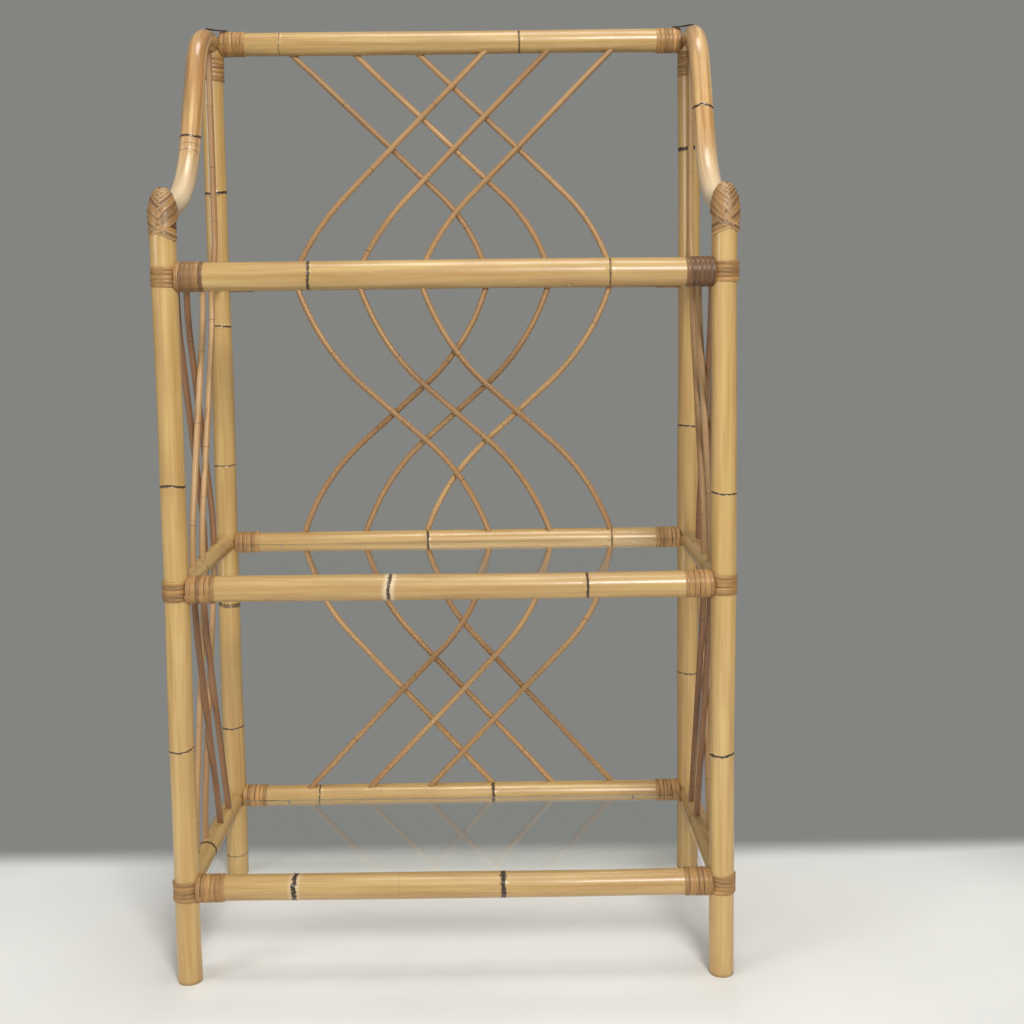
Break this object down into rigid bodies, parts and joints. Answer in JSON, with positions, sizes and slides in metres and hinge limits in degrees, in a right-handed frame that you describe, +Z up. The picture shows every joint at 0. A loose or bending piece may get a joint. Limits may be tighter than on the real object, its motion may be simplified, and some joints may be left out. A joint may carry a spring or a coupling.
{
  "type": "rattan shelf rack",
  "caption": "Cane pole rack with open glass shelves, scrolled arms up to a high back, curved rod lattice on back and sides, bound joints.",
  "frame": {"origin": "on the floor, midway between the four posts", "axes": "+Z up, +X to the rack's right as seen from the front, +Y towards the back"},
  "size_m": [0.6848, 0.3203, 1.1905],
  "materials": {
    "post": "lacquered peeled cane, satin",
    "rail": "lacquered cane pole, satin",
    "arm": "steam-bent cane pole, glossy",
    "rod": "lacquered thin cane, satin",
    "dark_rod": "lacquered dark thin cane, satin",
    "binding": "split cane strip, satin",
    "lashing": "dark strap",
    "steel": "plain wire nail",
    "glass": "clear float glass, slightly green"
  },
  "bodies": {
    "frame": {"front_post_left": "post", "rear_post_left": "post", "scroll_arm_left": "arm", "top_side_rod_left": "rod", "cap_binding_left": "binding", "front_post_right": "post", "rear_post_right": "post", "scroll_arm_right": "arm", "top_side_rod_right": "rod", "cap_binding_right": "binding", "top_rail": "rail", "lower_front_rail": "rail", "lower_rear_rail": "rail", "lower_front_bindings": "binding", "lower_side_rail_left": "rail", "lower_side_rail_right": "rail", "middle_front_rail": "rail", "middle_rear_rail": "rail", "middle_front_bindings": "binding", "middle_side_rail_left": "rail", "middle_side_rail_right": "rail", "upper_front_rail": "rail", "upper_rear_rail": "rail", "upper_front_bindings": "binding", "upper_side_rail_left": "rail", "upper_side_rail_right": "rail", "lower_back_rod_to_left_1": "rod", "lower_back_rod_to_left_2": "rod", "lower_back_rod_to_left_3": "rod", "lower_back_rod_to_right_1": "rod", "lower_back_rod_to_right_2": "rod", "lower_back_rod_to_right_3": "rod", "middle_back_rod_to_left_1": "rod", "middle_back_rod_to_left_2": "rod", "middle_back_rod_to_left_3": "rod", "middle_back_rod_to_right_1": "rod", "middle_back_rod_to_right_2": "rod", "middle_back_rod_to_right_3": "rod", "top_back_rod_to_left_1": "rod", "top_back_rod_to_left_2": "rod", "top_back_rod_to_left_3": "rod", "top_back_rod_to_right_1": "rod", "top_back_rod_to_right_2": "rod", "top_back_rod_to_right_3": "rod", "lower_side_rods_left_to_rear": "dark_rod", "lower_side_rods_left_to_front": "rod", "lower_side_rods_right_to_rear": "dark_rod", "lower_side_rods_right_to_front": "rod", "middle_side_rods_left_to_rear": "dark_rod", "middle_side_rods_left_to_front": "rod", "middle_side_rods_right_to_rear": "dark_rod", "middle_side_rods_right_to_front": "rod", "rear_bindings": "binding", "top_bindings": "binding", "corner_lashings": "lashing", "glass_pins": "steel", "joint_nails": "steel"},
    "lower_glass": {"lower_glass": "glass"},
    "middle_glass": {"middle_glass": "glass"},
    "upper_glass": {"upper_glass": "glass"}
  },
  "joints": [
    {"name": "lower_glass_lift", "type": "slide", "parent": "frame", "child": "lower_glass", "axis": [0, 0, 1], "range_m": [0, 0.12]},
    {"name": "middle_glass_lift", "type": "slide", "parent": "frame", "child": "middle_glass", "axis": [0, 0, 1], "range_m": [0, 0.12]},
    {"name": "upper_glass_lift", "type": "slide", "parent": "frame", "child": "upper_glass", "axis": [0, 0, 1], "range_m": [0, 0.35]}
  ]
}
